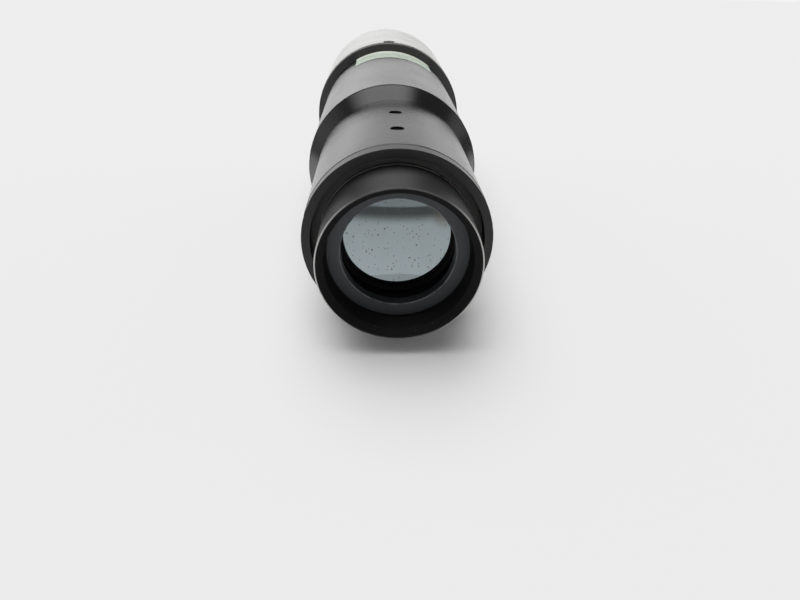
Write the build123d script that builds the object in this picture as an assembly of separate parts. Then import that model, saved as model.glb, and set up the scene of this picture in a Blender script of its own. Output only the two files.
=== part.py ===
from build123d import *
from math import sqrt
import os

# Barlow lens for 1.25 in eyepiece fittings, lying on its side.
# +Y is the optical axis, from the telescope end to the eyepiece end, and +Z is up.
# The origin is on the axis, in the plane of the front collar's face, where the nosepiece comes out.
# All sizes are in millimetres. A "station" is a position along Y, and names ending in _R are radii.

# ---- Fits ----
RUN = 0.05  # radial clearance where one piece slides or turns in another
SEAT = 0.02  # radial clearance where two pieces are fixed together
JOINT = 0.05  # axial gap at a butted joint

# ---- Nosepiece: slides into a 1.25 in focuser and takes M28.5 filters ----
NOSE_R = 31.75 / 2
NOSE_LENGTH = 10.7
NOSE_BEVEL = 0.1
FILTER_THREAD_R = 28.5 / 2
FILTER_THREAD_DEPTH = 6.0
FILTER_BEVEL = 1.3
TUBE_R = 15.0
CELL_SEAT_R = 14.0
NOSE_TUBE_END = 16.0

RIM = -NOSE_LENGTH
RING_FACE = RIM + FILTER_THREAD_DEPTH

# ---- Lens cell: ring in front, glass between lock ring and rear lip ----
RETAINING_RING_R = 11.35
RETAINING_RING_THICK = 2.5
RETAINING_RING_BEVEL = 0.35
CELL_LENGTH = 14.0
CELL_BORE_R = 12.6
CELL_LIP_R = 11.4
CELL_LIP_THICK = 1.6
LOCK_RING_R = 11.2
LOCK_RING_THICK = 2.2
LOCK_RING_FLARE = 0.7
GLASS_R = 12.5
GLASS_EDGE = 6.0
FRONT_CURVE_R = 36.0
CEMENT_CURVE_R = 40.0
FRONT_ELEMENT_CENTRE = 1.2
CEMENT = 0.05

CELL_START = RING_FACE + RETAINING_RING_THICK + JOINT
CELL_END = CELL_START + CELL_LENGTH
GLASS_BACK = CELL_END - CELL_LIP_THICK - JOINT
GLASS_FRONT = GLASS_BACK - GLASS_EDGE

# ---- Draw sleeve: carries the nosepiece and cell inside the barrel ----
DRAW_TRAVEL = 18.0
SLEEVE_BORE_R = 13.4
SLEEVE_LENGTH = 38.2
STOP_FLANGE_R = 16.8
STOP_FLANGE_THICK = 3.0
STOP_SPIGOT = 4.0
STOP_APERTURE_R = 12.0

SLEEVE_START = CELL_END + JOINT
SLEEVE_END = NOSE_TUBE_END + SLEEVE_LENGTH

# ---- Front collar and front barrel ----
COLLAR_R = 19.35
COLLAR_BEVEL = 0.2
COLLAR_WIDTH = 3.0
COLLAR_SPIGOT_R = 18.3
COLLAR_SPIGOT = 5.0
FRONT_BARREL_R = 19.5
FRONT_BARREL_BORE_R = 17.65
FRONT_BARREL_END = 40.7
EDGE_BREAK = 0.15

# ---- Guide bushes and the two friction screws that bear on the sleeve ----
BUSH_BEVEL = 0.3
FRONT_BUSH = (COLLAR_WIDTH, 18.0)
REAR_BUSH = (24.0, 36.0)
FRICTION_SCREW_STATIONS = (14.0, 27.9)
M3_R = 1.5
M3_SOCKET = 1.5
M3_SOCKET_DEPTH = 1.2
FRICTION_SCREW_SUNK = 0.5
FRICTION_SCREW_LENGTH = 2.6
FRICTION_PAD_R = 1.2

# ---- Coupling cone and rear barrel ----
CONE_LENGTH = 4.3
CONE_END_R = 22.2
CONE_SPIGOT_R = 18.6
CONE_SPIGOT = 5.3
CONE_REAR_SPIGOT = 6.0
REAR_BARREL_R = 22.4
REAR_BARREL_BORE_R = 20.5
REAR_BARREL_END = 102.3

CONE_END = FRONT_BARREL_END + CONE_LENGTH
STACK_START = CONE_END + CONE_REAR_SPIGOT + JOINT

# ---- Baffles and spacers stacked in the rear barrel ----
BAFFLE_STATIONS = (62.0, 74.0, 86.0)
BAFFLE_THICK = 1.0
BAFFLE_APERTURE_R = 13.5
SPACER_WALL = 0.8
STACK_END = 90.0

# ---- Swivel spigot, end ring and label at the rear of the barrel ----
SPIGOT_R = 21.5
SPIGOT_BORE_R = 18.0
SPIGOT_END = 121.0
GROOVE_DEPTH = 0.8
GROOVE_FLOOR = 1.1
END_RING_R = 24.8
END_RING_THICK = 2.0
END_RING_BEVEL = 0.2
LABEL_START = -29.0  # degrees from the top, positive towards +X
LABEL_SPAN = 65.0
LABEL_WIDTH = 13.6
LABEL_THICK = 0.1
LABEL_GAP = 0.25

# ---- Eyepiece head, collet and clamp ring ----
HEAD_R = 25.0
HEAD_BEVEL = 0.1
EYEPIECE_BORE_R = 15.925
HEAD_SOCKET_END = 121.5
HEAD_END = 131.3
BOSS_R = 19.0
BOSS_END = 141.0
COLLET_R = 17.4
COLLET_START = 134.0
COLLET_SLIT = 1.5
CLAMP_GAP = 0.4
CLAMP_MOUTH_R = 16.2
CLAMP_BEVEL = 0.4
REAR_FACE = 146.3

HEAD_START = REAR_BARREL_END + JOINT + END_RING_THICK + RUN
CLAMP_START = HEAD_END + CLAMP_GAP

# ---- Lock screw, M3, holding the eyepiece head on the swivel spigot ----
LOCK_STATION = 106.0
LOCK_SCREW_SUNK = 0.1
LOCK_SCREW_TIP = 22.2
LOCK_PAD_R = 1.1
LOCK_PAD_NOSE_R = 0.5
LOCK_PAD_PIN_R = 0.55
LOCK_PAD_PIN_TOP = 23.2


def turned(*outline):
    """A body of revolution about the optical axis, from an outline of (radius, station) points."""
    return revolve(make_face(Polyline(*outline, close=True)), Axis.Y)


def ring(inner, outer, start, end):
    """A plain turned ring."""
    return turned((inner, start), (outer, start), (outer, end), (inner, end))


def radial_cylinder(radius, low, high, station):
    """A cylinder on the vertical line through the axis at a station, from height low to high."""
    return Pos(0, station, low) * extrude(Circle(radius), high - low)


def hex_socket(across_flats, depth, top, station):
    """The hexagon recess in the top of a socket screw."""
    outline = RegularPolygon(across_flats / 2, 6, major_radius=False)
    return Pos(0, station, top - depth) * extrude(outline, depth)


def sag(curve_radius, height):
    """How far a spherical surface falls back at a height from its vertex."""
    return curve_radius - sqrt(curve_radius**2 - height**2)


def curved_edge(curve_radius, vertex, side):
    """Half the section of a spherical surface, from the axis to the glass's edge.
    Side is 1 where the edge is nearer the eyepiece than the vertex, and -1 where it is further."""
    points = [(h, vertex + side * sag(curve_radius, h)) for h in (0, GLASS_R / 2, GLASS_R)]
    return ThreePointArc(*points)


# ---- Lens tube: nosepiece, cell, glass and sleeve ----
def nosepiece():
    """Turned nosepiece with its filter thread, and a thin shank behind the shoulder that meets the bush."""
    return turned(
        (FILTER_THREAD_R + FILTER_BEVEL, RIM),
        (NOSE_R - NOSE_BEVEL, RIM),
        (NOSE_R, RIM + NOSE_BEVEL),
        (NOSE_R, COLLAR_WIDTH - JOINT),
        (TUBE_R, COLLAR_WIDTH - JOINT),
        (TUBE_R, NOSE_TUBE_END),
        (CELL_SEAT_R, NOSE_TUBE_END),
        (CELL_SEAT_R, RING_FACE),
        (FILTER_THREAD_R, RING_FACE),
        (FILTER_THREAD_R, RIM + FILTER_BEVEL),
    )


def front_retaining_ring():
    """Threaded ring that holds the lens cell in the nosepiece."""
    outer = CELL_SEAT_R - SEAT
    return turned(
        (RETAINING_RING_R + RETAINING_RING_BEVEL, RING_FACE),
        (outer, RING_FACE),
        (outer, RING_FACE + RETAINING_RING_THICK),
        (RETAINING_RING_R, RING_FACE + RETAINING_RING_THICK),
        (RETAINING_RING_R, RING_FACE + RETAINING_RING_BEVEL),
    )


def lens_cell():
    """Tube that holds the glass against its rear lip."""
    outer = CELL_SEAT_R - SEAT
    lip = CELL_END - CELL_LIP_THICK
    return turned(
        (CELL_BORE_R, CELL_START),
        (outer, CELL_START),
        (outer, CELL_END),
        (CELL_LIP_R, CELL_END),
        (CELL_LIP_R, lip),
        (CELL_BORE_R, lip),
    )


def lens_lock_ring():
    """Threaded ring with a flared mouth that holds the glass in the cell."""
    back = GLASS_FRONT - JOINT
    front = back - LOCK_RING_THICK
    outer = CELL_BORE_R - SEAT
    return turned(
        (LOCK_RING_R + LOCK_RING_FLARE, front),
        (outer, front),
        (outer, back),
        (LOCK_RING_R, back),
        (LOCK_RING_R, front + LOCK_RING_FLARE),
    )


def front_element():
    """Negative element of the doublet, hollow on both faces."""
    front = curved_edge(FRONT_CURVE_R, GLASS_FRONT + sag(FRONT_CURVE_R, GLASS_R), -1)
    back = curved_edge(CEMENT_CURVE_R, (front @ 0).Y + FRONT_ELEMENT_CENTRE, 1)
    rim = Line(front @ 1, back @ 1)
    axis = Line(back @ 0, front @ 0)
    return revolve(make_face(front + rim + back + axis), Axis.Y)


def rear_element():
    """Weak positive element of the doublet, flat at the back."""
    vertex = GLASS_FRONT + sag(FRONT_CURVE_R, GLASS_R) + FRONT_ELEMENT_CENTRE + CEMENT
    front = curved_edge(CEMENT_CURVE_R, vertex, 1)
    back = Polyline(front @ 1, (GLASS_R, GLASS_BACK), (0, GLASS_BACK), front @ 0)
    return revolve(make_face(front + back), Axis.Y)


def draw_sleeve():
    """Thin tube screwed into the back of the nosepiece, which slides in the guide bushes."""
    return turned(
        (SLEEVE_BORE_R, SLEEVE_START),
        (CELL_SEAT_R - SEAT, SLEEVE_START),
        (CELL_SEAT_R - SEAT, NOSE_TUBE_END + JOINT),
        (TUBE_R, NOSE_TUBE_END + JOINT),
        (TUBE_R, SLEEVE_END),
        (SLEEVE_BORE_R, SLEEVE_END),
    )


def sleeve_stop_ring():
    """Flanged aperture ring in the sleeve's end, which stops the sleeve at full draw."""
    return turned(
        (STOP_APERTURE_R, SLEEVE_END + STOP_FLANGE_THICK),
        (SLEEVE_BORE_R - SEAT, SLEEVE_END - STOP_SPIGOT),
        (SLEEVE_BORE_R - SEAT, SLEEVE_END + JOINT),
        (STOP_FLANGE_R, SLEEVE_END + JOINT),
        (STOP_FLANGE_R, SLEEVE_END + STOP_FLANGE_THICK),
    )


# ---- Barrel ----
def front_collar():
    """Threaded collar that closes the front barrel and leaves a shallow recess round the nosepiece."""
    return turned(
        (FRONT_BARREL_BORE_R, 0),
        (COLLAR_R - COLLAR_BEVEL, 0),
        (COLLAR_R, COLLAR_BEVEL),
        (COLLAR_R, COLLAR_WIDTH),
        (COLLAR_SPIGOT_R, COLLAR_WIDTH),
        (COLLAR_SPIGOT_R, COLLAR_WIDTH + COLLAR_SPIGOT),
        (FRONT_BARREL_BORE_R, COLLAR_WIDTH + COLLAR_SPIGOT),
    )


def guide_bush(start, end, hole_station):
    """Bush that guides the sliding tube, with a hole for a friction pad."""
    outer = FRONT_BARREL_BORE_R - SEAT
    inner = TUBE_R + RUN
    bush = turned(
        (inner + BUSH_BEVEL, start),
        (outer, start),
        (outer, end),
        (inner, end),
        (inner, start + BUSH_BEVEL),
    )
    return bush - radial_cylinder(M3_R, 0, outer + M3_R, hole_station)


def front_barrel():
    """Front tube, with two tapped holes on top and a spigot for the coupling cone."""
    start = COLLAR_WIDTH + JOINT
    counterbore = COLLAR_SPIGOT_R + SEAT
    counterbore_end = COLLAR_WIDTH + COLLAR_SPIGOT + JOINT
    spigot_end = FRONT_BARREL_END + CONE_SPIGOT - JOINT
    tube = turned(
        (counterbore, start),
        (FRONT_BARREL_R - EDGE_BREAK, start),
        (FRONT_BARREL_R, start + EDGE_BREAK),
        (FRONT_BARREL_R, FRONT_BARREL_END - JOINT),
        (CONE_SPIGOT_R, FRONT_BARREL_END - JOINT),
        (CONE_SPIGOT_R, spigot_end),
        (FRONT_BARREL_BORE_R, spigot_end),
        (FRONT_BARREL_BORE_R, counterbore_end),
        (counterbore, counterbore_end),
    )
    for station in FRICTION_SCREW_STATIONS:
        tube -= radial_cylinder(M3_R, 0, FRONT_BARREL_R + M3_R, station)
    return tube


def friction_screws():
    """Two M3 socket set screws, sunk just below the front barrel's surface."""
    top = FRONT_BARREL_R - FRICTION_SCREW_SUNK
    screws = []
    for station in FRICTION_SCREW_STATIONS:
        body = radial_cylinder(M3_R - RUN, top - FRICTION_SCREW_LENGTH, top, station)
        screws.append(body - hex_socket(M3_SOCKET, M3_SOCKET_DEPTH, top, station))
    return Compound(children=screws)


def friction_pads():
    """Nylon pads between the set screws and the sliding tube."""
    high = FRONT_BARREL_R - FRICTION_SCREW_SUNK - FRICTION_SCREW_LENGTH - JOINT
    low = TUBE_R + RUN
    pads = [radial_cylinder(FRICTION_PAD_R, low, high, s) for s in FRICTION_SCREW_STATIONS]
    return Compound(children=pads)


def coupling_cone():
    """Turned cone that joins the front barrel to the wider rear barrel."""
    step = FRONT_BARREL_END + CONE_SPIGOT
    socket = CONE_SPIGOT_R + SEAT
    passage = STOP_FLANGE_R + 1
    rear_spigot_end = CONE_END + CONE_REAR_SPIGOT
    return turned(
        (socket, FRONT_BARREL_END),
        (FRONT_BARREL_R, FRONT_BARREL_END),
        (CONE_END_R, CONE_END),
        (REAR_BARREL_BORE_R - SEAT, CONE_END),
        (REAR_BARREL_BORE_R - SEAT, rear_spigot_end),
        (passage, rear_spigot_end),
        (passage, step),
        (socket, step),
    )


def rear_barrel():
    """Rear tube between the cone and the end ring."""
    start = CONE_END + JOINT
    return turned(
        (REAR_BARREL_BORE_R, start),
        (REAR_BARREL_R - EDGE_BREAK, start),
        (REAR_BARREL_R, start + EDGE_BREAK),
        (REAR_BARREL_R, REAR_BARREL_END),
        (REAR_BARREL_BORE_R, REAR_BARREL_END),
    )


def barrel_baffles():
    """Three knife-edged rings that stop stray light."""
    outer = REAR_BARREL_BORE_R - SEAT
    rings = [
        turned(
            (BAFFLE_APERTURE_R, station),
            (outer, station),
            (outer, station + BAFFLE_THICK),
            (BAFFLE_APERTURE_R + BAFFLE_THICK, station + BAFFLE_THICK),
        )
        for station in BAFFLE_STATIONS
    ]
    return Compound(children=rings)


def baffle_spacers():
    """Thin tubes that space the baffles between the cone and the swivel spigot."""
    outer = REAR_BARREL_BORE_R - SEAT
    starts = (STACK_START,) + tuple(s + BAFFLE_THICK + JOINT for s in BAFFLE_STATIONS)
    ends = tuple(s - JOINT for s in BAFFLE_STATIONS) + (STACK_END - JOINT,)
    tubes = [ring(outer - SPACER_WALL, outer, start, end) for start, end in zip(starts, ends)]
    return Compound(children=tubes)


def swivel_spigot():
    """Grooved spigot, screwed into the rear barrel, on which the eyepiece head turns."""
    floor = SPIGOT_R - GROOVE_DEPTH
    half_floor = GROOVE_FLOOR / 2
    half_mouth = half_floor + GROOVE_DEPTH
    return turned(
        (SPIGOT_BORE_R, STACK_END),
        (REAR_BARREL_BORE_R - SEAT, STACK_END),
        (REAR_BARREL_BORE_R - SEAT, REAR_BARREL_END + JOINT),
        (SPIGOT_R, REAR_BARREL_END + JOINT),
        (SPIGOT_R, LOCK_STATION - half_mouth),
        (floor, LOCK_STATION - half_floor),
        (floor, LOCK_STATION + half_floor),
        (SPIGOT_R, LOCK_STATION + half_mouth),
        (SPIGOT_R, SPIGOT_END),
        (SPIGOT_BORE_R, SPIGOT_END),
    )


def end_ring():
    """Black ring between the rear barrel and the eyepiece head."""
    start = REAR_BARREL_END + JOINT
    end = start + END_RING_THICK
    return turned(
        (SPIGOT_R + SEAT, start),
        (END_RING_R - END_RING_BEVEL, start),
        (END_RING_R, start + END_RING_BEVEL),
        (END_RING_R, end),
        (SPIGOT_R + SEAT, end),
    )


def label():
    """Blank paper label wrapped on top of the rear barrel, against the end ring."""
    low = REAR_BARREL_R + SEAT
    end = REAR_BARREL_END - LABEL_GAP
    band = Pos(low + LABEL_THICK / 2, end - LABEL_WIDTH / 2) * Rectangle(LABEL_THICK, LABEL_WIDTH)
    return Rot(0, LABEL_START - 90, 0) * revolve(band, Axis.Y, LABEL_SPAN)


# ---- Eyepiece head, clamp ring and lock screw ----
def eyepiece_head():
    """Chromed head: front socket for the spigot, eyepiece bore, and rear boss for the clamp ring."""
    socket = SPIGOT_R + RUN
    head = turned(
        (socket, HEAD_START),
        (HEAD_R - HEAD_BEVEL, HEAD_START),
        (HEAD_R, HEAD_START + HEAD_BEVEL),
        (HEAD_R, HEAD_END - HEAD_BEVEL),
        (HEAD_R - HEAD_BEVEL, HEAD_END),
        (BOSS_R, HEAD_END),
        (BOSS_R, BOSS_END),
        (COLLET_R, BOSS_END),
        (COLLET_R, COLLET_START),
        (EYEPIECE_BORE_R, COLLET_START),
        (EYEPIECE_BORE_R, HEAD_SOCKET_END),
        (socket, HEAD_SOCKET_END),
    )
    return head - radial_cylinder(M3_R, SPIGOT_R - 1, HEAD_R + 1, LOCK_STATION)


def eyepiece_collet():
    """Split brass ring that closes on the eyepiece's barrel."""
    start = COLLET_START + JOINT
    end = BOSS_END - JOINT
    collet = ring(EYEPIECE_BORE_R, COLLET_R - SEAT, start, end)
    slit = Pos(0, (start + end) / 2, -COLLET_R) * Box(COLLET_SLIT, end - start + 1, COLLET_R)
    return collet - slit


def clamp_ring():
    """Chromed ring that is turned to close the collet, with the eyepiece's resting face."""
    pocket = BOSS_R + RUN
    pocket_end = BOSS_END + CLAMP_GAP
    return turned(
        (pocket, CLAMP_START),
        (HEAD_R - HEAD_BEVEL, CLAMP_START),
        (HEAD_R, CLAMP_START + HEAD_BEVEL),
        (HEAD_R, REAR_FACE - CLAMP_BEVEL),
        (HEAD_R - CLAMP_BEVEL, REAR_FACE),
        (CLAMP_MOUTH_R + CLAMP_BEVEL, REAR_FACE),
        (CLAMP_MOUTH_R, REAR_FACE - CLAMP_BEVEL),
        (CLAMP_MOUTH_R, pocket_end),
        (pocket, pocket_end),
    )


def lock_screw():
    """M3 socket set screw that ends just below the surface of the eyepiece head."""
    top = HEAD_R - LOCK_SCREW_SUNK
    body = radial_cylinder(M3_R - RUN, LOCK_SCREW_TIP, top, LOCK_STATION)
    pin_hole = radial_cylinder(LOCK_PAD_PIN_R + RUN, LOCK_SCREW_TIP, LOCK_PAD_PIN_TOP + RUN, LOCK_STATION)
    return body - pin_hole - hex_socket(M3_SOCKET, M3_SOCKET_DEPTH, top, LOCK_STATION)


def lock_screw_pad():
    """Brass tip that bears in the spigot's groove and doesn't turn with the screw."""
    low = SPIGOT_R - GROOVE_DEPTH + RUN
    shoulder = low + LOCK_PAD_R - LOCK_PAD_NOSE_R
    outline = Polyline(
        (0, low),
        (LOCK_PAD_NOSE_R, low),
        (LOCK_PAD_R, shoulder),
        (LOCK_PAD_R, LOCK_SCREW_TIP - JOINT),
        (LOCK_PAD_PIN_R, LOCK_SCREW_TIP - JOINT),
        (LOCK_PAD_PIN_R, LOCK_PAD_PIN_TOP),
        (0, LOCK_PAD_PIN_TOP),
        close=True,
    )
    upright = Plane.XZ * make_face(outline)
    return Pos(0, LOCK_STATION, 0) * revolve(upright, Axis.Z)


PIECES = {
    "nosepiece": nosepiece(),
    "front_retaining_ring": front_retaining_ring(),
    "lens_cell": lens_cell(),
    "lens_lock_ring": lens_lock_ring(),
    "front_element": front_element(),
    "rear_element": rear_element(),
    "draw_sleeve": draw_sleeve(),
    "sleeve_stop_ring": sleeve_stop_ring(),
    "front_collar": front_collar(),
    "front_guide_bush": guide_bush(*FRONT_BUSH, FRICTION_SCREW_STATIONS[0]),
    "rear_guide_bush": guide_bush(*REAR_BUSH, FRICTION_SCREW_STATIONS[1]),
    "front_barrel": front_barrel(),
    "friction_screws": friction_screws(),
    "friction_pads": friction_pads(),
    "coupling_cone": coupling_cone(),
    "rear_barrel": rear_barrel(),
    "barrel_baffles": barrel_baffles(),
    "baffle_spacers": baffle_spacers(),
    "swivel_spigot": swivel_spigot(),
    "end_ring": end_ring(),
    "label": label(),
    "eyepiece_head": eyepiece_head(),
    "eyepiece_collet": eyepiece_collet(),
    "clamp_ring": clamp_ring(),
    "lock_screw": lock_screw(),
    "lock_screw_pad": lock_screw_pad(),
}

os.makedirs("parts", exist_ok=True)
for name, piece in PIECES.items():
    export_step(piece, f"parts/{name}.step")
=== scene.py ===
from math import pi, radians, sqrt

import bmesh
import bpy
from mathutils import Matrix, Vector


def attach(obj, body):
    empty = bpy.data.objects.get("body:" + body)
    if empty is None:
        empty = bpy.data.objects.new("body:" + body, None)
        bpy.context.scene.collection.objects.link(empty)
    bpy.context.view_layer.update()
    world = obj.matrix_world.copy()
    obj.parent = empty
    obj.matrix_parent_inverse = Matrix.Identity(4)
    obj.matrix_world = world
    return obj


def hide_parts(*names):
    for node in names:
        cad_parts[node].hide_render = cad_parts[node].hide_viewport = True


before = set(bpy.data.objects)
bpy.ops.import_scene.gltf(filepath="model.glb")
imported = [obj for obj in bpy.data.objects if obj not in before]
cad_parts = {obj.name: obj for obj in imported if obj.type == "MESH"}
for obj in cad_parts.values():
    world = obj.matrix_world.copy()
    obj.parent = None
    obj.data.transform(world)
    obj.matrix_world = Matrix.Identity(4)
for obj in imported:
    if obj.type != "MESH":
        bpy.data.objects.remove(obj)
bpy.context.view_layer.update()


# ---- Nosepiece ----
# Thin tube turned from aluminium and anodised black, which slides into the focuser. Its mouth is
# threaded for filters. Its rim is rubbed bright, mostly at the two sides, where the wear is also a
# painted highlight, and it is rubbed bright in a line where it enters the recess.

MM = 0.001
LATHE_STEPS = 256
SMOOTH_BELOW = radians(28)


def turn_on_lathe(outline, edge_break=0.04, closed=True):
    """A turned part, spun about the optical axis from its half outline of (radius, station) in mm."""
    turned = bmesh.new()
    points = [turned.verts.new((radius * MM, station * MM, 0)) for radius, station in outline]
    pairs = list(zip(points, points[1:]))
    if closed:
        pairs.append((points[-1], points[0]))
    lines = [turned.edges.new(pair) for pair in pairs]
    bmesh.ops.spin(turned, geom=points + lines, cent=(0, 0, 0), axis=(0, 1, 0),
                   angle=2 * pi, steps=LATHE_STEPS, use_merge=True)
    bmesh.ops.remove_doubles(turned, verts=turned.verts, dist=0.0005 * MM)
    bmesh.ops.recalc_face_normals(turned, faces=turned.faces)
    if edge_break:
        break_corners(turned, edge_break)
    return turned


def break_corners(turned, size):
    """Takes the sharpness off every outer corner that runs round a turned part."""
    corners = []
    for edge in turned.edges:
        first, second = edge.verts
        runs_round = abs(first.co.y - second.co.y) < 0.001 * MM
        if runs_round and edge.is_convex and edge.calc_face_angle(0) > SMOOTH_BELOW:
            corners.append(edge)
    bmesh.ops.bevel(turned, geom=corners, offset=size * MM, offset_type="OFFSET", affect="EDGES",
                    segments=2, profile=0.5, clamp_overlap=True, material=-1)
    bmesh.ops.recalc_face_normals(turned, faces=turned.faces)


def fit_piece(name, shape, finish, body, stands_for):
    """Makes a shaped bmesh a piece of the barlow, in place of the part that it stands for."""
    mesh = bpy.data.meshes.new(name)
    shape.to_mesh(mesh)
    shape.free()
    piece = bpy.data.objects.new(name, mesh)
    bpy.context.scene.collection.objects.link(piece)
    mesh.materials.append(finish)
    mesh.shade_smooth()
    mesh.set_sharp_from_angle(angle=SMOOTH_BELOW)
    even = piece.modifiers.new("even shading", "WEIGHTED_NORMAL")
    even.keep_sharp = True
    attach(piece, body)
    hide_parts(stands_for)
    return piece


def thread(radius, depth, start, end, pitch):
    """The half outline of a cut thread, as rings of V grooves from start to end."""
    step = pitch if end > start else -pitch
    turns = int(abs(end - start) / pitch)
    points = []
    for turn in range(turns):
        station = start + turn * step
        points += [(radius, station), (radius + depth, station + step / 2)]
    return points + [(radius, start + turns * step)]


def add_node(tree, kind, sockets, **settings):
    """Adds a node, fills its sockets with values or with other nodes' outputs, and returns its outputs."""
    made = tree.nodes.new(kind)
    for setting, value in settings.items():
        setattr(made, setting, value)
    for socket, value in sockets.items():
        if isinstance(value, bpy.types.NodeSocket):
            tree.links.new(value, made.inputs[socket])
        else:
            made.inputs[socket].default_value = value
    return made.outputs


def calc(tree, operation, first, second=0.0, third=0.0):
    sockets = {0: first, 1: second, 2: third}
    return add_node(tree, "ShaderNodeMath", sockets, operation=operation)[0]


def vector_calc(tree, operation, first, second=(0, 0, 0)):
    return add_node(tree, "ShaderNodeVectorMath", {0: first, 1: second}, operation=operation)[0]


def ramp(tree, value, low, high, low_result=0.0, high_result=1.0):
    """Turns a value between low and high smoothly into one between the two results."""
    sockets = {0: value, 1: low, 2: high, 3: low_result, 4: high_result}
    return add_node(tree, "ShaderNodeMapRange", sockets, interpolation_type="SMOOTHSTEP")[0]


def blend_colours(tree, amount, first, second):
    sockets = {0: amount, 6: first, 7: second}
    return add_node(tree, "ShaderNodeMix", sockets, data_type="RGBA")[2]


def grey(value, warmth=0.0):
    """A grey of that reflectance, with warmth above 0 leaning to yellow and below 0 to blue."""
    return (value * (1 + warmth), value, value * (1 - warmth), 1)


def start_finish(name):
    finish = bpy.data.materials.new(name)
    finish.use_nodes = True
    tree = finish.node_tree
    return finish, tree, tree.nodes["Principled BSDF"]


def set_shader(tree, shader, sockets):
    for socket, value in sockets.items():
        if isinstance(value, bpy.types.NodeSocket):
            tree.links.new(value, shader.inputs[socket])
        else:
            shader.inputs[socket].default_value = value


def lathe_place(tree):
    """Where a point is on a turned part, in mm: its place, radius, station and direction round the axis."""
    place = add_node(tree, "ShaderNodeTexCoord", {})["Object"]
    place = vector_calc(tree, "MULTIPLY", place, (1000, 1000, 1000))
    across = vector_calc(tree, "MULTIPLY", place, (1, 0, 1))
    radius = add_node(tree, "ShaderNodeVectorMath", {0: across}, operation="LENGTH")[1]
    station = add_node(tree, "ShaderNodeSeparateXYZ", {0: place})[1]
    around = vector_calc(tree, "NORMALIZE", across)
    return place, radius, station, around


def tool_marks(tree, where, per_mm, run=0.8, detail=2.0):
    """Fine rings left by the lathe tool, from 0 to 1, that change slowly round the part."""
    place, radius, station, around = where
    along = vector_calc(tree, "MULTIPLY", place, (0, per_mm, 0))
    spot = add_node(tree, "ShaderNodeVectorMath", {0: around, 1: (run, 0, run), 2: along},
                    operation="MULTIPLY_ADD")[0]
    sockets = {"Vector": spot, "W": calc(tree, "MULTIPLY", radius, per_mm), "Scale": 1.0,
               "Detail": detail, "Roughness": 0.6}
    return add_node(tree, "ShaderNodeTexNoise", sockets, noise_dimensions="4D")[0]


def mottle(tree, where, per_mm, detail=4.0, seed=0.0):
    """Cloudy unevenness, from 0 to 1."""
    sockets = {"Vector": where[0], "W": seed, "Scale": per_mm, "Detail": detail, "Roughness": 0.55}
    return add_node(tree, "ShaderNodeTexNoise", sockets, noise_dimensions="4D")[0]


def specks(tree, where, per_mm, size, share):
    """Small separate specks, 1 on a speck and 0 between, on a share of the places they could be."""
    cells = add_node(tree, "ShaderNodeTexVoronoi", {"Vector": where[0], "Scale": per_mm})
    spot = ramp(tree, cells["Distance"], size, size * 0.6)
    chosen = calc(tree, "LESS_THAN", add_node(tree, "ShaderNodeSeparateColor", {0: cells["Color"]})[0], share)
    return calc(tree, "MULTIPLY", spot, chosen)


def raise_marks(tree, height, mm, strength=1.0):
    """A normal for marks that stand up to a number of mm out of the surface."""
    sockets = {"Height": height, "Distance": mm * MM, "Strength": strength}
    return add_node(tree, "ShaderNodeBump", sockets)[0]


def rubbed_edge(tree, where, edge, patches):
    """How far an edge that runs round a part is rubbed bare, all the way or mostly at the two sides, where
    the wear is also a painted highlight.
    """
    place, radius, station, around = where
    edge_radius, edge_station, width, amount, depth, highlight_at_sides = edge
    out = calc(tree, "SUBTRACT", radius, edge_radius)
    off = calc(tree, "SUBTRACT", station, edge_station)
    squares = calc(tree, "ADD", calc(tree, "MULTIPLY", out, out), calc(tree, "MULTIPLY", off, off))
    away = calc(tree, "SQRT", squares)
    near = ramp(tree, away, width, width * 0.45)
    wear_and_side_highlight = ramp(tree, patches, 0.62 - 0.5 * amount, 0.72 - 0.3 * amount, 0, depth)
    # Kept mostly to the two sides, the bare metal is wear and a painted highlight together.
    if highlight_at_sides:
        sideways = calc(tree, "ABSOLUTE", add_node(tree, "ShaderNodeSeparateXYZ", {0: around})[0])
        wear_and_side_highlight = calc(tree, "MULTIPLY", wear_and_side_highlight, ramp(tree, sideways, 0.45, 0.95, 0.1, 1))
    return calc(tree, "MULTIPLY", near, wear_and_side_highlight)


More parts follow.
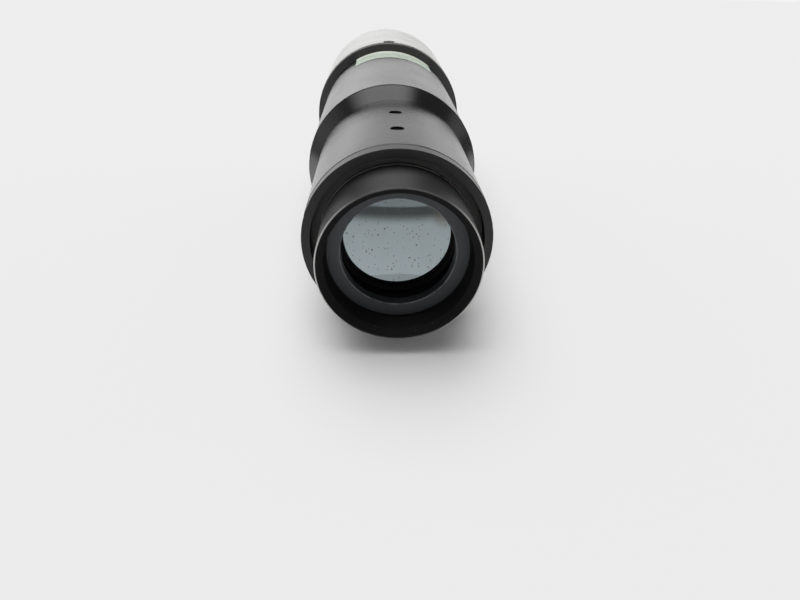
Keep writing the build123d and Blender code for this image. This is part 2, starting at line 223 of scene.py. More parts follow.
def black_anodising(name, tone=0.003, warmth=0.0, roughness=0.27, marks=1.0, dust=0.12, rubbed=(),
                    spread=0.7, streaks=0.0, shine=0.5):
    """Satin black anodised aluminium with tool marks, a little dust, and rubbed edges."""
    finish, tree, shader = start_finish(name)
    where = lathe_place(tree)
    rings = tool_marks(tree, where, 6.0)
    clouds = mottle(tree, where, 0.12)
    dye = blend_colours(tree, clouds, grey(tone * 0.7, warmth), grey(tone * 1.4, warmth))
    dots = calc(tree, "MULTIPLY", specks(tree, where, 0.8, 0.09, 0.3), dust)
    dye = blend_colours(tree, dots, dye, grey(0.35, 0.03))
    metal = 0.0
    if rubbed:
        patches = mottle(tree, where, 0.55, detail=5.0, seed=3.0)
        bare = [rubbed_edge(tree, where, edge, patches) for edge in rubbed]
        metal = bare[0]
        for more in bare[1:]:
            metal = calc(tree, "MAXIMUM", metal, more)
        dye = blend_colours(tree, metal, dye, grey(0.62, 0.02))
    gloss = calc(tree, "MULTIPLY_ADD", rings, 0.08, roughness - 0.04)
    gloss = calc(tree, "MULTIPLY_ADD", clouds, 0.06, calc(tree, "SUBTRACT", gloss, 0.03))
    if streaks:
        round_it = vector_calc(tree, "MULTIPLY", where[3], (70, 0, 70))
        grain = add_node(tree, "ShaderNodeTexNoise", {"Vector": round_it, "Scale": 1.0, "Detail": 3.0})[0]
        gloss = calc(tree, "MULTIPLY_ADD", grain, streaks, calc(tree, "SUBTRACT", gloss, streaks * 0.5))
    relief = raise_marks(tree, rings, 0.004 * marks)
    turned_along = add_node(tree, "ShaderNodeTangent", {}, direction_type="RADIAL", axis="Y")[0]
    set_shader(tree, shader, {"Base Color": dye, "Metallic": metal, "Roughness": gloss, "IOR": 1.5,
                              "Specular IOR Level": shine, "Normal": relief, "Anisotropic": spread,
                              "Anisotropic Rotation": 0.25, "Tangent": turned_along})
    return finish


def matt_black(name, tone=0.003, roughness=0.6, shine=0.12):
    """Matt black anodising, as on the parts inside the tubes."""
    finish, tree, shader = start_finish(name)
    where = lathe_place(tree)
    rings = tool_marks(tree, where, 4.0)
    clouds = mottle(tree, where, 0.2)
    dye = blend_colours(tree, clouds, grey(tone * 0.6), grey(tone * 1.5, 0.03))
    dots = calc(tree, "MULTIPLY", specks(tree, where, 0.9, 0.1, 0.3), 0.2)
    dye = blend_colours(tree, dots, dye, grey(0.3, 0.04))
    gloss = calc(tree, "MULTIPLY_ADD", clouds, 0.2, roughness - 0.1)
    set_shader(tree, shader, {"Base Color": dye, "Roughness": gloss, "IOR": 1.5,
                              "Specular IOR Level": shine, "Normal": raise_marks(tree, rings, 0.008)})
    return finish


def line_with(piece, finish, radius):
    """Gives the faces that lie nearer the axis than a radius another finish."""
    piece.data.materials.append(finish)
    for face in piece.data.polygons:
        if sqrt(face.center.x ** 2 + face.center.z ** 2) < radius * MM:
            face.material_index = 1


NOSE_RADIUS = 15.875
NOSE_MOUTH = -10.7
NOSE_SHOULDER = 2.95
RIM_BREAK = 0.1
SHANK_RADIUS = 15.0
SHANK_BORE = 14.0
SHANK_END = 16.0
FILTER_THREAD_RADIUS = 14.25
FILTER_SEAT = -4.7
MOUTH_CHAMFER = 1.3
WORN_LINE = 1.9
MOUTH_LINED_TO = 15.4

nose_outline = [
    (FILTER_THREAD_RADIUS + MOUTH_CHAMFER, NOSE_MOUTH), (NOSE_RADIUS - RIM_BREAK, NOSE_MOUTH),
    (NOSE_RADIUS, NOSE_MOUTH + RIM_BREAK), (NOSE_RADIUS, NOSE_SHOULDER), (SHANK_RADIUS, NOSE_SHOULDER),
    (SHANK_RADIUS, SHANK_END), (SHANK_BORE, SHANK_END), (SHANK_BORE, FILTER_SEAT),
    (FILTER_THREAD_RADIUS, FILTER_SEAT), (FILTER_THREAD_RADIUS, FILTER_SEAT - 0.3),
] + thread(FILTER_THREAD_RADIUS, depth=0.2, start=-5.1, end=-9.3, pitch=0.6)
# The rim's bare metal is kept mostly to the two sides, as wear and a painted highlight together.
nose_finish = black_anodising("nose black anodising", tone=0.012, roughness=0.5, shine=0.35, rubbed=[
    (NOSE_RADIUS, WORN_LINE, 0.6, 0.85, 0.9, False), (NOSE_RADIUS - 0.05, NOSE_MOUTH, 0.24, 1.2, 0.6, True)])
inside_finish = matt_black("inside matt black", tone=0.002)
nosepiece = fit_piece("turned_nosepiece", turn_on_lathe(nose_outline, 0.02), nose_finish,
                      "lens_tube", "nosepiece")
line_with(nosepiece, inside_finish, MOUTH_LINED_TO)


# ---- Front retaining ring ----
# Flat aluminium ring screwed into the back of the filter thread, in front of the lens cell.
# It is anodised blue-black, and the edge of its opening is rubbed bright in places.

RETAINING_OPENING = 11.35
RETAINING_CHAMFER = 0.35
RETAINING_BACK = -2.2
INNER_FIT = 13.98

retaining_outline = [
    (RETAINING_OPENING + RETAINING_CHAMFER, FILTER_SEAT), (INNER_FIT, FILTER_SEAT),
    (INNER_FIT, RETAINING_BACK), (RETAINING_OPENING, RETAINING_BACK),
    (RETAINING_OPENING, FILTER_SEAT + RETAINING_CHAMFER)]
retaining_finish = black_anodising("blue black ring", tone=0.007, warmth=-0.35, roughness=0.55, rubbed=[
    (RETAINING_OPENING + 0.1, -4.5, 0.2, 0.6, 0.14, False)])
fit_piece("turned_retaining_ring", turn_on_lathe(retaining_outline, 0.05), retaining_finish,
          "lens_tube", "front_retaining_ring")


# ---- Lens cell and lock ring ----
# Aluminium tube that holds the glass against a lip at its back. A ring with a flared mouth,
# screwed into the cell's fine thread, locks the glass. Both are matt black against stray light.

CELL_BORE = 12.6
CELL_BACK = 11.85
CELL_LIP = 10.25
CELL_LIP_RADIUS = 11.4

cell_outline = [
    (INNER_FIT, -2.15), (INNER_FIT, CELL_BACK), (CELL_LIP_RADIUS, CELL_BACK), (CELL_LIP_RADIUS, CELL_LIP),
    (CELL_BORE, CELL_LIP), (CELL_BORE, 4.2),
] + thread(CELL_BORE, depth=0.22, start=4.0, end=-2.0, pitch=0.5)
fit_piece("threaded_lens_cell", turn_on_lathe(cell_outline, 0.03), inside_finish,
          "lens_tube", "lens_cell")

lock_ring_outline = [(11.9, 1.95), (12.58, 1.95), (12.58, 4.15), (11.2, 4.15), (11.2, 2.65)]
fit_piece("flared_lock_ring", turn_on_lathe(lock_ring_outline, 0.04), inside_finish,
          "lens_tube", "lens_lock_ring")


# ---- Front and rear elements ----
# Cemented negative pair of polished glass. The hollow front face has a coating that mirrors
# blue-grey, with dust, small dark spots, a brownish stain, and near its top edge a dark band that is a
# painted reflection.

GLASS_RADIUS = 12.5
FRONT_CURVE = 36.0
CEMENT_CURVE = 40.0
FRONT_EDGE = 4.2
FRONT_THICKNESS = 1.2
STAIN_PLACE = (9.6, 5.0, 3.6)


def fall(curve, height):
    """How far a spherical face falls back at a height from its vertex."""
    return curve - sqrt(curve * curve - height * height)


front_vertex = FRONT_EDGE + fall(FRONT_CURVE, GLASS_RADIUS)
cement_vertex = front_vertex + FRONT_THICKNESS
heights = [GLASS_RADIUS * step / 24 for step in range(25)]
front_face = [(height, front_vertex - fall(FRONT_CURVE, height)) for height in heights]
cement_face = [(height, cement_vertex + fall(CEMENT_CURVE, height)) for height in reversed(heights)]


def coated_glass(name, reflecting, tint):
    finish, tree, shader = start_finish(name)
    where = lathe_place(tree)
    clouds = mottle(tree, where, 0.09, detail=2.0)
    hazy = tuple(part * 0.92 for part in tint[:3]) + (1,)
    haze_and_painted_band = blend_colours(tree, ramp(tree, clouds, 0.35, 0.65), tint, hazy)
    height = add_node(tree, "ShaderNodeSeparateXYZ", {0: where[0]})[2]
    bow = calc(tree, "MULTIPLY_ADD", calc(tree, "MULTIPLY", where[1], where[1]), -0.012, height)
    # Painted reflection: a dark band across the glass near its top edge, over the hazy tint.
    painted_reflection_band = calc(tree, "MULTIPLY", ramp(tree, bow, 1.0, 3.9), ramp(tree, bow, 5.4, 4.9, 0.4, 1))
    haze_and_painted_band = blend_colours(tree, calc(tree, "MULTIPLY", painted_reflection_band, 0.92), haze_and_painted_band, (0.02, 0.023, 0.023, 1))
    stain = add_node(tree, "ShaderNodeVectorMath", {0: where[0], 1: STAIN_PLACE}, operation="DISTANCE")[1]
    haze_and_painted_band = blend_colours(tree, ramp(tree, stain, 3.2, 0.6, 0, 0.5), haze_and_painted_band, (0.07, 0.052, 0.03, 1))
    dirt = calc(tree, "MAXIMUM", specks(tree, where, 0.75, 0.2, 0.3), specks(tree, where, 1.5, 0.27, 0.42))
    colour = blend_colours(tree, calc(tree, "MULTIPLY", dirt, 0.85), haze_and_painted_band, (0.07, 0.065, 0.065, 1))
    set_shader(tree, shader, {"Base Color": colour, "Metallic": reflecting, "Roughness": 0.03,
                              "IOR": 1.62, "Transmission Weight": 1.0})
    return finish


front_coating = coated_glass("coated lens glass", 0.88, (0.2, 0.235, 0.248, 1))
fit_piece("coated_front_glass", turn_on_lathe(front_face + cement_face, 0, closed=False), front_coating,
          "lens_tube", "front_element")


def repaint(node, finish):
    """Gives a part that keeps its own mesh a better finish in its slots."""
    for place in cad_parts[node].material_slots:
        place.material = finish


repaint("rear_element", coated_glass("rear lens glass", 0.04, (0.97, 0.99, 0.98, 1)))


# ---- Draw sleeve and stop ring ----
# Thin aluminium tube screwed into the nosepiece's shank, which slides in the barrel's bushes.
# The flanged ring in its end stops it at full draw and narrows the opening.

SLEEVE_RADIUS = 15.0
SLEEVE_BORE = 13.4
SLEEVE_FRONT = 11.9
SLEEVE_SHOULDER = 16.05
SLEEVE_END = 54.2

sleeve_outline = [
    (SLEEVE_BORE, SLEEVE_FRONT), (INNER_FIT, SLEEVE_FRONT), (INNER_FIT, SLEEVE_SHOULDER),
    (SLEEVE_RADIUS, SLEEVE_SHOULDER), (SLEEVE_RADIUS, SLEEVE_END), (SLEEVE_BORE, SLEEVE_END)]
sleeve_finish = black_anodising("sleeve black anodising", tone=0.004, roughness=0.3, rubbed=[
    (SLEEVE_RADIUS, SLEEVE_END, 0.3, 0.5, 1.0, False)])
fit_piece("sliding_sleeve", turn_on_lathe(sleeve_outline), sleeve_finish,
          "lens_tube", "draw_sleeve")
repaint("sleeve_stop_ring", inside_finish)


# ---- Front collar ----
# Aluminium ring screwed into the front barrel. It closes the barrel's mouth and leaves a shallow
# recess round the nosepiece. Its black finish is a little rougher and warmer than the barrels'.

COLLAR_RADIUS = 19.42
COLLAR_BREAK = 0.08
COLLAR_WIDTH = 3.0
COLLAR_THREAD = (18.3, 8.0)
COLLAR_FACED_TO = 19.1
RECESS_RADIUS = 17.65

collar_outline = [
    (RECESS_RADIUS, 0.0), (COLLAR_RADIUS - COLLAR_BREAK, 0.0), (COLLAR_RADIUS, COLLAR_BREAK),
    (COLLAR_RADIUS, COLLAR_WIDTH), (COLLAR_THREAD[0], COLLAR_WIDTH), COLLAR_THREAD,
    (RECESS_RADIUS, COLLAR_THREAD[1])]
collar_finish = black_anodising("collar black anodising", tone=0.004, warmth=0.08, roughness=0.33, spread=0.5,
                                shine=0.35)
collar = fit_piece("recessed_collar", turn_on_lathe(collar_outline, 0.02), collar_finish,
                   "barrel", "front_collar")
line_with(collar, matt_black("collar face black", tone=0.008, roughness=0.4, shine=0.2), COLLAR_FACED_TO)


# ---- Guide bushes ----
# Two plain aluminium bushes in which the sleeve slides, turned and anodised grey-black. They are
# pressed into the front barrel, and the front one is the floor of the collar's recess.

bush_finish = matt_black("bush grey-black", tone=0.05)
for bush in ("front_guide_bush", "rear_guide_bush"):
    repaint(bush, bush_finish)


# ---- Front barrel ----
# Aluminium tube, turned and anodised black, with two tapped holes in a line along its top. The
# collar is screwed into its front end and the cone over its back end.

FRONT_BARREL_RADIUS = 19.5
BARREL_BREAK = 0.15
SCREW_STATIONS = (14.0, 27.9)
M3_RADIUS = 1.5


def upright_rod(radius, low, high, station, sides=48, top_radius=None):
    """A rod, drill or broach that stands over the barlow's axis at a station, straight or tapered."""
    rod = bmesh.new()
    middle = Matrix.Translation((0, station * MM, (low + high) / 2 * MM))
    bmesh.ops.create_cone(rod, cap_ends=True, segments=sides, radius1=radius * MM,
                          radius2=(top_radius or radius) * MM, depth=(high - low) * MM, matrix=middle)
    return rod


def cut_away(piece, *cutters):
    """Takes each cutter's shape out of a piece."""
    piece.modifiers.clear()
    for shape in cutters:
        mesh = bpy.data.meshes.new("cutter")
        shape.to_mesh(mesh)
        shape.free()
        cutter = bpy.data.objects.new("cutter", mesh)
        bpy.context.scene.collection.objects.link(cutter)
        cut = piece.modifiers.new("cut", "BOOLEAN")
        cut.operation = "DIFFERENCE"
        cut.solver = "EXACT"
        cut.object = cutter
        made = piece.evaluated_get(bpy.context.evaluated_depsgraph_get())
        piece.data = bpy.data.meshes.new_from_object(made)
        piece.modifiers.clear()
        bpy.data.objects.remove(cutter)
    piece.data.shade_smooth()
    piece.data.set_sharp_from_angle(angle=SMOOTH_BELOW)


def keep_round(piece, radius):
    """Shades the outside of a drilled tube as a true cylinder, whatever faces the drill left."""
    mesh = piece.data
    normals = [corner.vector.copy() for corner in mesh.corner_normals]
    for face in mesh.polygons:
        corners = [mesh.vertices[vertex].co for vertex in face.vertices]
        if all(abs(sqrt(spot.x ** 2 + spot.z ** 2) - radius * MM) < 0.02 * MM for spot in corners):
            for loop in face.loop_indices:
                spot = mesh.vertices[mesh.loops[loop].vertex_index].co
                normals[loop] = Vector((spot.x, 0, spot.z)).normalized()
    mesh.normals_split_custom_set(normals)


front_barrel_outline = [
    (18.32, 3.05), (FRONT_BARREL_RADIUS - BARREL_BREAK, 3.05), (FRONT_BARREL_RADIUS, 3.05 + BARREL_BREAK),
    (FRONT_BARREL_RADIUS, 40.65), (18.6, 40.65), (18.6, 45.95), (RECESS_RADIUS, 45.95),
    (RECESS_RADIUS, 8.05), (18.32, 8.05)]
barrel_finish = black_anodising("barrel black anodising", roughness=0.26)
front_barrel = fit_piece("drilled_front_barrel", turn_on_lathe(front_barrel_outline), barrel_finish,
                         "barrel", "front_barrel")
for station in SCREW_STATIONS:
    cut_away(front_barrel, upright_rod(M3_RADIUS, 10, 21, station))
keep_round(front_barrel, FRONT_BARREL_RADIUS)


# ---- Friction screws and pads ----
# Two M3 socket set screws in black steel, sunk just below the surface, with nylon pads under
# them that press on the sliding tube.

SCREW_RADIUS = 1.45
SOCKET_WIDTH = 1.5
SOCKET_DEPTH = 1.2


def black_steel(name):
    finish, tree, shader = start_finish(name)
    where = lathe_place(tree)
    grain = mottle(tree, where, 2.5)
    colour = blend_colours(tree, grain, grey(0.004, -0.02), grey(0.012))
    gloss = calc(tree, "MULTIPLY_ADD", grain, 0.25, 0.35)
    set_shader(tree, shader, {"Base Color": colour, "Roughness": gloss,
                              "Normal": raise_marks(tree, grain, 0.01, 0.8)})
    return finish


def set_screw(low, high, station):
    """An M3 set screw between two heights, and the broach for the six-sided socket in its top."""
    screw = upright_rod(SCREW_RADIUS, low, high, station)
    rims = [edge for edge in screw.edges if edge.calc_face_angle(0) > radians(60)]
    bmesh.ops.bevel(screw, geom=rims, offset=0.12 * MM, offset_type="OFFSET", affect="EDGES", segments=2,
                    profile=0.5, clamp_overlap=True, material=-1)
    broach = upright_rod(SOCKET_WIDTH / sqrt(3), high - SOCKET_DEPTH, high + 1, station, sides=6)
    return screw, broach


steel_finish = black_steel("black oxide steel")
screws = bmesh.new()
broaches = []
for station in SCREW_STATIONS:
    screw, broach = set_screw(16.4, 19.0, station)
    loose = bpy.data.meshes.new("screw")
    screw.to_mesh(loose)
    screw.free()
    screws.from_mesh(loose)
    broaches.append(broach)
sunk_screws = fit_piece("sunk_set_screws", screws, steel_finish, "barrel", "friction_screws")
cut_away(sunk_screws, *broaches)


def nylon(name):
    finish, tree, shader = start_finish(name)
    where = lathe_place(tree)
    clouds = mottle(tree, where, 1.2)
    colour = blend_colours(tree, clouds, (0.62, 0.6, 0.52, 1), (0.74, 0.72, 0.66, 1))
    gloss = calc(tree, "MULTIPLY_ADD", clouds, 0.15, 0.4)
    set_shader(tree, shader, {"Base Color": colour, "Roughness": gloss})
    return finish


repaint("friction_pads", nylon("natural nylon"))


# ---- Coupling cone ----
# Short aluminium cone that joins the two barrels, screwed over one and into the other. It is
# anodised black, with fine turning marks across its slope.

CONE_FRONT = 40.7
CONE_BACK = 45.0

cone_outline = [
    (18.62, CONE_FRONT), (FRONT_BARREL_RADIUS, CONE_FRONT), (22.2, CONE_BACK), (20.48, CONE_BACK),
    (20.48, 51.0), (17.8, 51.0), (17.8, 46.0), (18.62, 46.0)]
cone_finish = black_anodising("cone black anodising", warmth=0.02, roughness=0.28, marks=1.4, spread=0.8,
                              streaks=0.12, shine=0.36)
fit_piece("turned_cone", turn_on_lathe(cone_outline), cone_finish,
          "barrel", "coupling_cone")


# ---- Rear barrel ----
# The wider aluminium tube between the cone and the end ring, in the same satin black. It is
# screwed on to the cone, and holds the baffles and the swivel spigot.

REAR_BARREL_RADIUS = 22.4
REAR_BARREL_BORE = 20.5
REAR_BARREL_SPAN = (45.05, 102.3)

rear_barrel_outline = [
    (REAR_BARREL_BORE, REAR_BARREL_SPAN[0]), (REAR_BARREL_RADIUS - BARREL_BREAK, REAR_BARREL_SPAN[0]),
    (REAR_BARREL_RADIUS, REAR_BARREL_SPAN[0] + BARREL_BREAK), (REAR_BARREL_RADIUS, REAR_BARREL_SPAN[1]),
    (REAR_BARREL_BORE, REAR_BARREL_SPAN[1])]
fit_piece("turned_rear_barrel", turn_on_lathe(rear_barrel_outline), barrel_finish,
          "barrel", "rear_barrel")


# ---- Baffles, spacers and swivel spigot ----
# Knife-edged rings and thin spacer tubes stacked inside the rear barrel, and the grooved spigot
# on which the eyepiece head turns. Only their edges show, through the eyepiece bore.

for hidden in ("barrel_baffles", "baffle_spacers", "swivel_spigot"):
    repaint(hidden, inside_finish)


# ---- End ring ----
# Black anodised aluminium ring between the rear barrel and the chromed head, a little narrower
# than the head. It is clamped behind the rear barrel by the swivel spigot.

END_RING_RADIUS = 24.8
END_RING_BORE = 21.52
END_RING_BREAK = 0.2
END_RING_SPAN = (102.35, 104.35)

end_ring_outline = [
    (END_RING_BORE, END_RING_SPAN[0]), (END_RING_RADIUS - END_RING_BREAK, END_RING_SPAN[0]),
    (END_RING_RADIUS, END_RING_SPAN[0] + END_RING_BREAK), (END_RING_RADIUS, END_RING_SPAN[1]),
    (END_RING_BORE, END_RING_SPAN[1])]
end_ring_finish = black_anodising("end ring black", tone=0.004, warmth=-0.05, roughness=0.35)
fit_piece("turned_end_ring", turn_on_lathe(end_ring_outline), end_ring_finish,
          "barrel", "end_ring")


# ---- Label ----
# Strip of pale green paper wrapped over the top of the rear barrel, against the end ring. It is
# cream along its rear edge, and its pattern is a plain mottle with no words.

LABEL_TURN = (-29.0, 36.0)
LABEL_STATIONS = (88.45, 102.05)
LABEL_RADII = (22.42, 22.52)


def label_paper(name):
    finish, tree, shader = start_finish(name)
    where = lathe_place(tree)
    clouds = mottle(tree, where, 0.5)
    print_marks = ramp(tree, mottle(tree, where, 1.1, seed=5.0), 0.45, 0.6)
    fade = ramp(tree, where[2], 96.0, 101.0)
    paper = blend_colours(tree, fade, (0.5, 0.58, 0.48, 1), (0.92, 0.94, 0.83, 1))
    paper = blend_colours(tree, calc(tree, "MULTIPLY", clouds, 0.4), paper, (0.50, 0.57, 0.48, 1))
    ink = calc(tree, "MULTIPLY", print_marks, calc(tree, "SUBTRACT", 0.6, calc(tree, "MULTIPLY", fade, 0.5)))
    colour = blend_colours(tree, ink, paper, (0.22, 0.31, 0.235, 1))
    gloss = calc(tree, "MULTIPLY_ADD", clouds, 0.1, 0.42)
    set_shader(tree, shader, {"Base Color": colour, "Roughness": gloss,
                              "Normal": raise_marks(tree, clouds, 0.01, 0.6)})
    return finish


def wrap_round(radii, stations, turn):
    """A strip bent round the barrel between two angles from the top, positive towards +X."""
    strip = bmesh.new()
    bmesh.ops.create_grid(strip, x_segments=1, y_segments=8, size=0.5)
    low, high = radii
    start, end = stations
    for corner in strip.verts:
        station = start + (corner.co.y + 0.5) * (end - start)
        height = low + (corner.co.x + 0.5) * (high - low)
        corner.co = Vector((0, station, height)) * MM
    first, last = turn
    bmesh.ops.rotate(strip, verts=strip.verts, matrix=Matrix.Rotation(radians(first), 3, "Y"))
    bmesh.ops.spin(strip, geom=strip.verts[:] + strip.edges[:] + strip.faces[:], cent=(0, 0, 0),
                   axis=(0, 1, 0), angle=radians(last - first), steps=96)
    bmesh.ops.remove_doubles(strip, verts=strip.verts, dist=0.0005 * MM)
    inner = [face for face in strip.faces if all(len(edge.link_faces) > 2 for edge in face.edges)]
    bmesh.ops.delete(strip, geom=inner, context="FACES")
    bmesh.ops.recalc_face_normals(strip, faces=strip.faces)
    return strip


fit_piece("paper_label", wrap_round(LABEL_RADII, LABEL_STATIONS, LABEL_TURN),
          label_paper("pale green label paper"), "barrel", "label")


# ---- Eyepiece head ----
# The eyepiece holder, turned from brass and plated in satin chrome. It turns on the barrel's
# spigot, its back is bored for the eyepiece, and its screw hole is countersunk, with painted black shade on
# its walls.

HEAD_RADIUS = 25.0
HEAD_BREAK = 0.1
HEAD_SPAN = (104.4, 131.3)
HEAD_SOCKET = (21.55, 121.5)
BOSS_RADIUS = 19.0
BOSS_END = 141.0
EYEPIECE_BORE = 15.925
COLLET_SEAT = (17.4, 134.0)
LOCK_STATION = 106.0
COUNTERSINK = {"radius": 1.4, "top_radius": 2.4, "low": 24.3, "high": 25.3}


def satin_chrome(name):
    finish, tree, shader = start_finish(name)
    where = lathe_place(tree)
    rings = tool_marks(tree, where, 3.0, run=1.5)
    clouds = mottle(tree, where, 0.1)
    colour = blend_colours(tree, clouds, (0.30, 0.305, 0.29, 1), (0.37, 0.375, 0.355, 1))
    # Painted shade: the chrome is painted darker for the first 9 mm behind the black end ring.
    painted_shade_near_ring = ramp(tree, where[2], 104, 113, 0.35, 0)
    colour = blend_colours(tree, painted_shade_near_ring, colour, (0.13, 0.135, 0.12, 1))
    dots = calc(tree, "MULTIPLY", specks(tree, where, 0.5, 0.1, 0.3), 0.5)
    colour = blend_colours(tree, dots, colour, grey(0.2, 0.1))
    gloss = calc(tree, "MULTIPLY_ADD", clouds, 0.12, 0.18)
    gloss = calc(tree, "MULTIPLY_ADD", rings, 0.06, gloss)
    relief = raise_marks(tree, rings, 0.004)
    turned_along = add_node(tree, "ShaderNodeTangent", {}, direction_type="RADIAL", axis="Y")[0]
    set_shader(tree, shader, {"Base Color": colour, "Metallic": 1.0, "Roughness": gloss, "Normal": relief,
                              "Anisotropic": 0.5, "Anisotropic Rotation": 0.25, "Tangent": turned_along})
    return finish


def shade_hole_walls(piece, station, radius, finish):
    """Gives the walls of a hole in a piece's top another finish as painted shade, and leaves the outside as
    it is.
    """
    piece.data.materials.append(finish)
    for face in piece.data.polygons:
        off_centre = sqrt(face.center.x ** 2 + (face.center.y - station * MM) ** 2)
        outwards = Vector((face.center.x, 0, face.center.z)).normalized()
        if face.center.z > 0 and off_centre < radius * MM and face.normal.dot(outwards) < 0.95:
            face.material_index = 1


head_outline = [
    (HEAD_SOCKET[0], HEAD_SPAN[0]), (HEAD_RADIUS - HEAD_BREAK, HEAD_SPAN[0]),
    (HEAD_RADIUS, HEAD_SPAN[0] + HEAD_BREAK), (HEAD_RADIUS, HEAD_SPAN[1] - HEAD_BREAK),
    (HEAD_RADIUS - HEAD_BREAK, HEAD_SPAN[1]), (BOSS_RADIUS, HEAD_SPAN[1]), (BOSS_RADIUS, BOSS_END),
    (COLLET_SEAT[0], BOSS_END), COLLET_SEAT, (EYEPIECE_BORE, COLLET_SEAT[1]),
    (EYEPIECE_BORE, HEAD_SOCKET[1]), HEAD_SOCKET]
chrome_finish = satin_chrome("satin chrome")
head = fit_piece("chromed_head", turn_on_lathe(head_outline), chrome_finish,
                 "head", "eyepiece_head")
countersink = upright_rod(station=LOCK_STATION, **COUNTERSINK)
cut_away(head, upright_rod(M3_RADIUS, 20.5, 26, LOCK_STATION), countersink)
keep_round(head, HEAD_RADIUS)
# Painted shade: the countersunk hole's walls take the black steel finish.
shade_hole_walls(head, LOCK_STATION, 2.2, steel_finish)


# ---- Eyepiece collet ----
# Split ring turned from brass, loose in the seat inside the head's rear boss. It closes on the
# eyepiece's barrel when the clamp ring is turned.


def turned_brass(name):
    finish, tree, shader = start_finish(name)
    where = lathe_place(tree)
    rings = tool_marks(tree, where, 3.0)
    clouds = mottle(tree, where, 0.25)
    colour = blend_colours(tree, clouds, (0.58, 0.42, 0.17, 1), (0.78, 0.60, 0.30, 1))
    gloss = calc(tree, "MULTIPLY_ADD", clouds, 0.2, 0.22)
    set_shader(tree, shader, {"Base Color": colour, "Metallic": 1.0, "Roughness": gloss,
                              "Normal": raise_marks(tree, rings, 0.006)})
    return finish


COLLET_RADIUS = 17.38
COLLET_SPAN = (134.05, 140.95)
SLIT_SIZE = (1.5, 9.0, 6.0)
SLIT_CENTRE = (0, 137.5, -17.0)

collet_outline = [
    (EYEPIECE_BORE, COLLET_SPAN[0]), (COLLET_RADIUS, COLLET_SPAN[0]), (COLLET_RADIUS, COLLET_SPAN[1]),
    (EYEPIECE_BORE, COLLET_SPAN[1])]
brass_finish = turned_brass("turned brass")
collet = fit_piece("split_brass_collet", turn_on_lathe(collet_outline), brass_finish,
                   "head", "eyepiece_collet")
slit = bmesh.new()
slit_place = Matrix.Translation(Vector(SLIT_CENTRE) * MM)
bmesh.ops.create_cube(slit, size=1, matrix=slit_place @ Matrix.Diagonal((*(Vector(SLIT_SIZE) * MM), 1)))
cut_away(collet, slit)


# ---- Clamp ring ----
# Ring behind the head, turned from brass and plated in the same satin chrome. It is screwed on
# to the head's rear boss to close the collet, and the eyepiece rests on its rear face.

CLAMP_SPAN = (131.7, 146.3)
CLAMP_POCKET = (19.05, 141.4)
CLAMP_MOUTH = 16.2
CLAMP_CHAMFER = 0.4

clamp_outline = [
    (CLAMP_POCKET[0], CLAMP_SPAN[0]), (HEAD_RADIUS - HEAD_BREAK, CLAMP_SPAN[0]),
    (HEAD_RADIUS, CLAMP_SPAN[0] + HEAD_BREAK), (HEAD_RADIUS, CLAMP_SPAN[1] - CLAMP_CHAMFER),
    (HEAD_RADIUS - CLAMP_CHAMFER, CLAMP_SPAN[1]), (CLAMP_MOUTH + CLAMP_CHAMFER, CLAMP_SPAN[1]),
    (CLAMP_MOUTH, CLAMP_SPAN[1] - CLAMP_CHAMFER), (CLAMP_MOUTH, CLAMP_POCKET[1]), CLAMP_POCKET]
fit_piece("chromed_clamp_ring", turn_on_lathe(clamp_outline), chrome_finish,
          "clamp", "clamp_ring")


# ---- Lock screw ----
# M3 socket set screw in black steel, just sunk in the head, with a brass tip that bears in the
# spigot's groove and holds the head where it is turned.

LOCK_SCREW_SPAN = (22.2, 24.9)
TIP_HOLE_RADIUS = 0.6

lock_screw_shape, lock_broach = set_screw(*LOCK_SCREW_SPAN, LOCK_STATION)
lock_screw = fit_piece("socket_lock_screw", lock_screw_shape, steel_finish,
                       "lock_screw", "lock_screw")
cut_away(lock_screw, lock_broach, upright_rod(TIP_HOLE_RADIUS, 21.5, 23.25, LOCK_STATION, sides=32))
repaint("lock_screw_pad", brass_finish)


# ---- Studio ----
# A wide pale table under the barlow, which rests on its rear barrel and head. The light is a wide
# panel overhead, more to the left, with a bright sweep behind and a dim room at the sides.

FLOOR_RADIUS = 40.0
FLOOR_POINT = Vector((0, 45.05, -22.42)) * MM
FLOOR_SLOPE = -0.0437
FLOOR_TONE = 0.95
PANEL_LIGHT = 2.4
ROOM_LIGHT = 0.14
SWEEP_LIGHT = 2.1
FRONT_LIGHT = 0.75
FLOOR_GLOW = 0.25


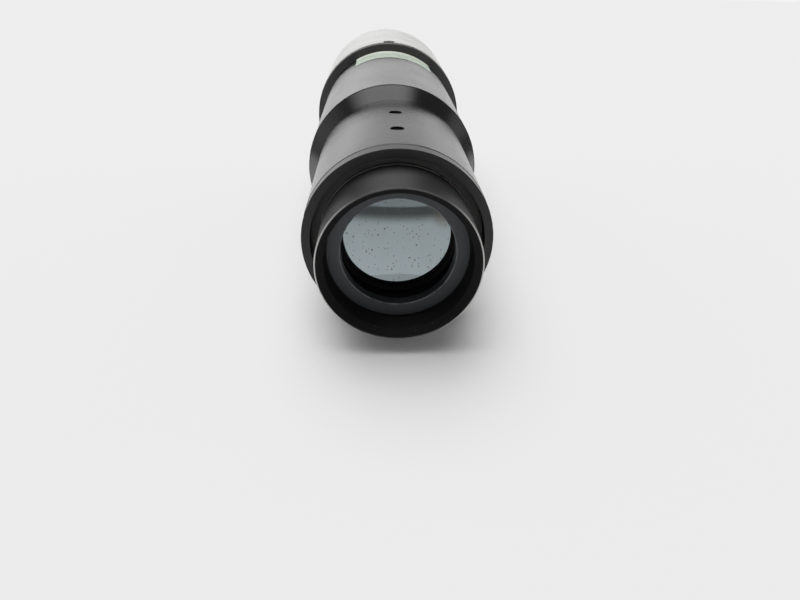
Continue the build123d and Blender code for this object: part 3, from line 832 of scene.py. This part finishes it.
def studio_floor():
    shape = bmesh.new()
    bmesh.ops.create_circle(shape, cap_ends=True, segments=96, radius=FLOOR_RADIUS)
    bmesh.ops.rotate(shape, verts=shape.verts, cent=(0, 0, 0), matrix=Matrix.Rotation(FLOOR_SLOPE, 3, "X"))
    bmesh.ops.translate(shape, verts=shape.verts, vec=FLOOR_POINT)
    mesh = bpy.data.meshes.new("table_top")
    shape.to_mesh(mesh)
    shape.free()
    floor = bpy.data.objects.new("table_top", mesh)
    bpy.context.scene.collection.objects.link(floor)
    finish, tree, shader = start_finish("pale table")
    where = lathe_place(tree)
    clouds = mottle(tree, where, 0.01)
    # Painted light falloff: the table is painted a little darker towards the front.
    near = ramp(tree, where[2], -150, 300)
    colour = blend_colours(tree, near, grey(FLOOR_TONE * 0.96), grey(FLOOR_TONE))
    colour = blend_colours(tree, calc(tree, "MULTIPLY", clouds, 0.3), colour, grey(FLOOR_TONE * 0.98))
    aside = calc(tree, "ABSOLUTE", add_node(tree, "ShaderNodeSeparateXYZ", {0: where[0]})[0])
    aside = calc(tree, "SUBTRACT", aside, calc(tree, "MULTIPLY", calc(tree, "ABSOLUTE", where[2]), 0.35))
    # In reflections the table is painted brighter, painted darker far to the sides, and given a painted glow.
    mirrored = calc(tree, "SUBTRACT", 1, add_node(tree, "ShaderNodeLightPath", {})["Is Camera Ray"])
    colour = blend_colours(tree, mirrored, colour, grey(0.98))
    painted_side_shade = calc(tree, "MULTIPLY", mirrored, ramp(tree, aside, 120, 280))
    colour = blend_colours(tree, painted_side_shade, colour, grey(FLOOR_TONE * 0.2))
    glow = calc(tree, "MULTIPLY", mirrored, calc(tree, "MULTIPLY_ADD", painted_side_shade, -FLOOR_GLOW, FLOOR_GLOW))
    set_shader(tree, shader, {"Base Color": colour, "Roughness": 0.9, "Specular IOR Level": 0.1,
                              "Emission Color": (1, 1, 1, 1), "Emission Strength": glow})
    mesh.materials.append(finish)


def light_tent():
    world = bpy.data.worlds.new("light tent")
    world.use_nodes = True
    bpy.context.scene.world = world
    tree = world.node_tree
    tree.nodes.clear()
    towards = add_node(tree, "ShaderNodeTexCoord", {})["Generated"]
    right, back, up = add_node(tree, "ShaderNodeSeparateXYZ", {0: towards})[0:3]
    up = calc(tree, "MAXIMUM", up, 0.02)
    across = calc(tree, "DIVIDE", right, up)
    along = calc(tree, "DIVIDE", back, up)
    panel = calc(tree, "MULTIPLY", ramp(tree, across, -1.0, -0.35), ramp(tree, across, 0.5, 0.15))
    panel = calc(tree, "MULTIPLY", panel, ramp(tree, along, 1.5, 0.9))
    panel = calc(tree, "MULTIPLY", panel, ramp(tree, along, -0.7, -0.1))
    level = calc(tree, "SQRT", calc(tree, "ADD", calc(tree, "MULTIPLY", right, right),
                                    calc(tree, "MULTIPLY", back, back)))
    facing = calc(tree, "DIVIDE", back, calc(tree, "MAXIMUM", level, 0.001))
    sweep = calc(tree, "MULTIPLY", ramp(tree, facing, 0.5, 0.85), ramp(tree, up, 0.36, 0.1))
    sweep = calc(tree, "MULTIPLY", sweep, ramp(tree, up, 0.02, 0.15, 0.35, 1))
    front = calc(tree, "MULTIPLY", ramp(tree, facing, -0.5, -0.8), ramp(tree, up, 0.3, 0.15, 0, FRONT_LIGHT))
    sweep = calc(tree, "MULTIPLY", sweep, ramp(tree, right, -0.1, 0.35, SWEEP_LIGHT, 0.8 * SWEEP_LIGHT))
    glint = add_node(tree, "ShaderNodeVectorMath", {0: towards, 1: Vector((0.88, 0.32, 0.34)).normalized()},
                     operation="DOT_PRODUCT")[1]
    strength = calc(tree, "MULTIPLY_ADD", ramp(tree, glint, 0.97, 0.995), 0.5, ROOM_LIGHT)
    left_glow = add_node(tree, "ShaderNodeVectorMath", {0: towards, 1: Vector((-0.9, 0.3, 0.3)).normalized()},
                         operation="DOT_PRODUCT")[1]
    strength = calc(tree, "MULTIPLY_ADD", ramp(tree, left_glow, 0.88, 0.98), 0.3, strength)
    strength = calc(tree, "MAXIMUM", strength, calc(tree, "MAXIMUM", sweep, front))
    strength = calc(tree, "MAXIMUM", strength, calc(tree, "MULTIPLY", panel, PANEL_LIGHT))
    tent = add_node(tree, "ShaderNodeBackground", {"Color": (1, 1, 1, 1), "Strength": strength})[0]
    backdrop = add_node(tree, "ShaderNodeBackground", {"Color": (0.873, 0.88, 0.88, 1), "Strength": 1.0})[0]
    seen = add_node(tree, "ShaderNodeLightPath", {})["Is Camera Ray"]
    shown = add_node(tree, "ShaderNodeMixShader", {0: seen, 1: tent, 2: backdrop})[0]
    add_node(tree, "ShaderNodeOutputWorld", {"Surface": shown})


def set_tones():
    """Gives the picture a camera's soft shoulder, so that the pale table stays short of white."""
    view = bpy.context.scene.view_settings
    view.view_transform = "Standard"
    view.use_curve_mapping = True
    shoulder = view.curve_mapping.curves[3]
    shoulder.points[-1].location = (1.0, 0.925)
    for light, shown in ((0.2, 0.305), (0.4, 0.562), (0.6, 0.761), (0.8, 0.87)):
        shoulder.points.new(light, shown)
    view.curve_mapping.update()


def studio_camera():
    lens = bpy.data.cameras.new("camera")
    lens.lens = 24.975
    lens.sensor_width = 36.0
    lens.clip_start = 0.005
    lens.clip_end = 50.0
    camera = bpy.data.objects.new("camera", lens)
    bpy.context.scene.collection.objects.link(camera)
    right = Vector((0.9991, -0.0360, 0.0221)).normalized()
    forward = Vector((0.0422, 0.8509, -0.5236)).normalized()
    up = right.cross(forward).normalized()
    right = forward.cross(up).normalized()
    turn = Matrix((right, up, -forward)).transposed()
    camera.matrix_world = Matrix.Translation((-0.00425, -0.10139, 0.04912)) @ turn.to_4x4()
    bpy.context.scene.camera = camera


studio_floor()
light_tent()
studio_camera()
set_tones()
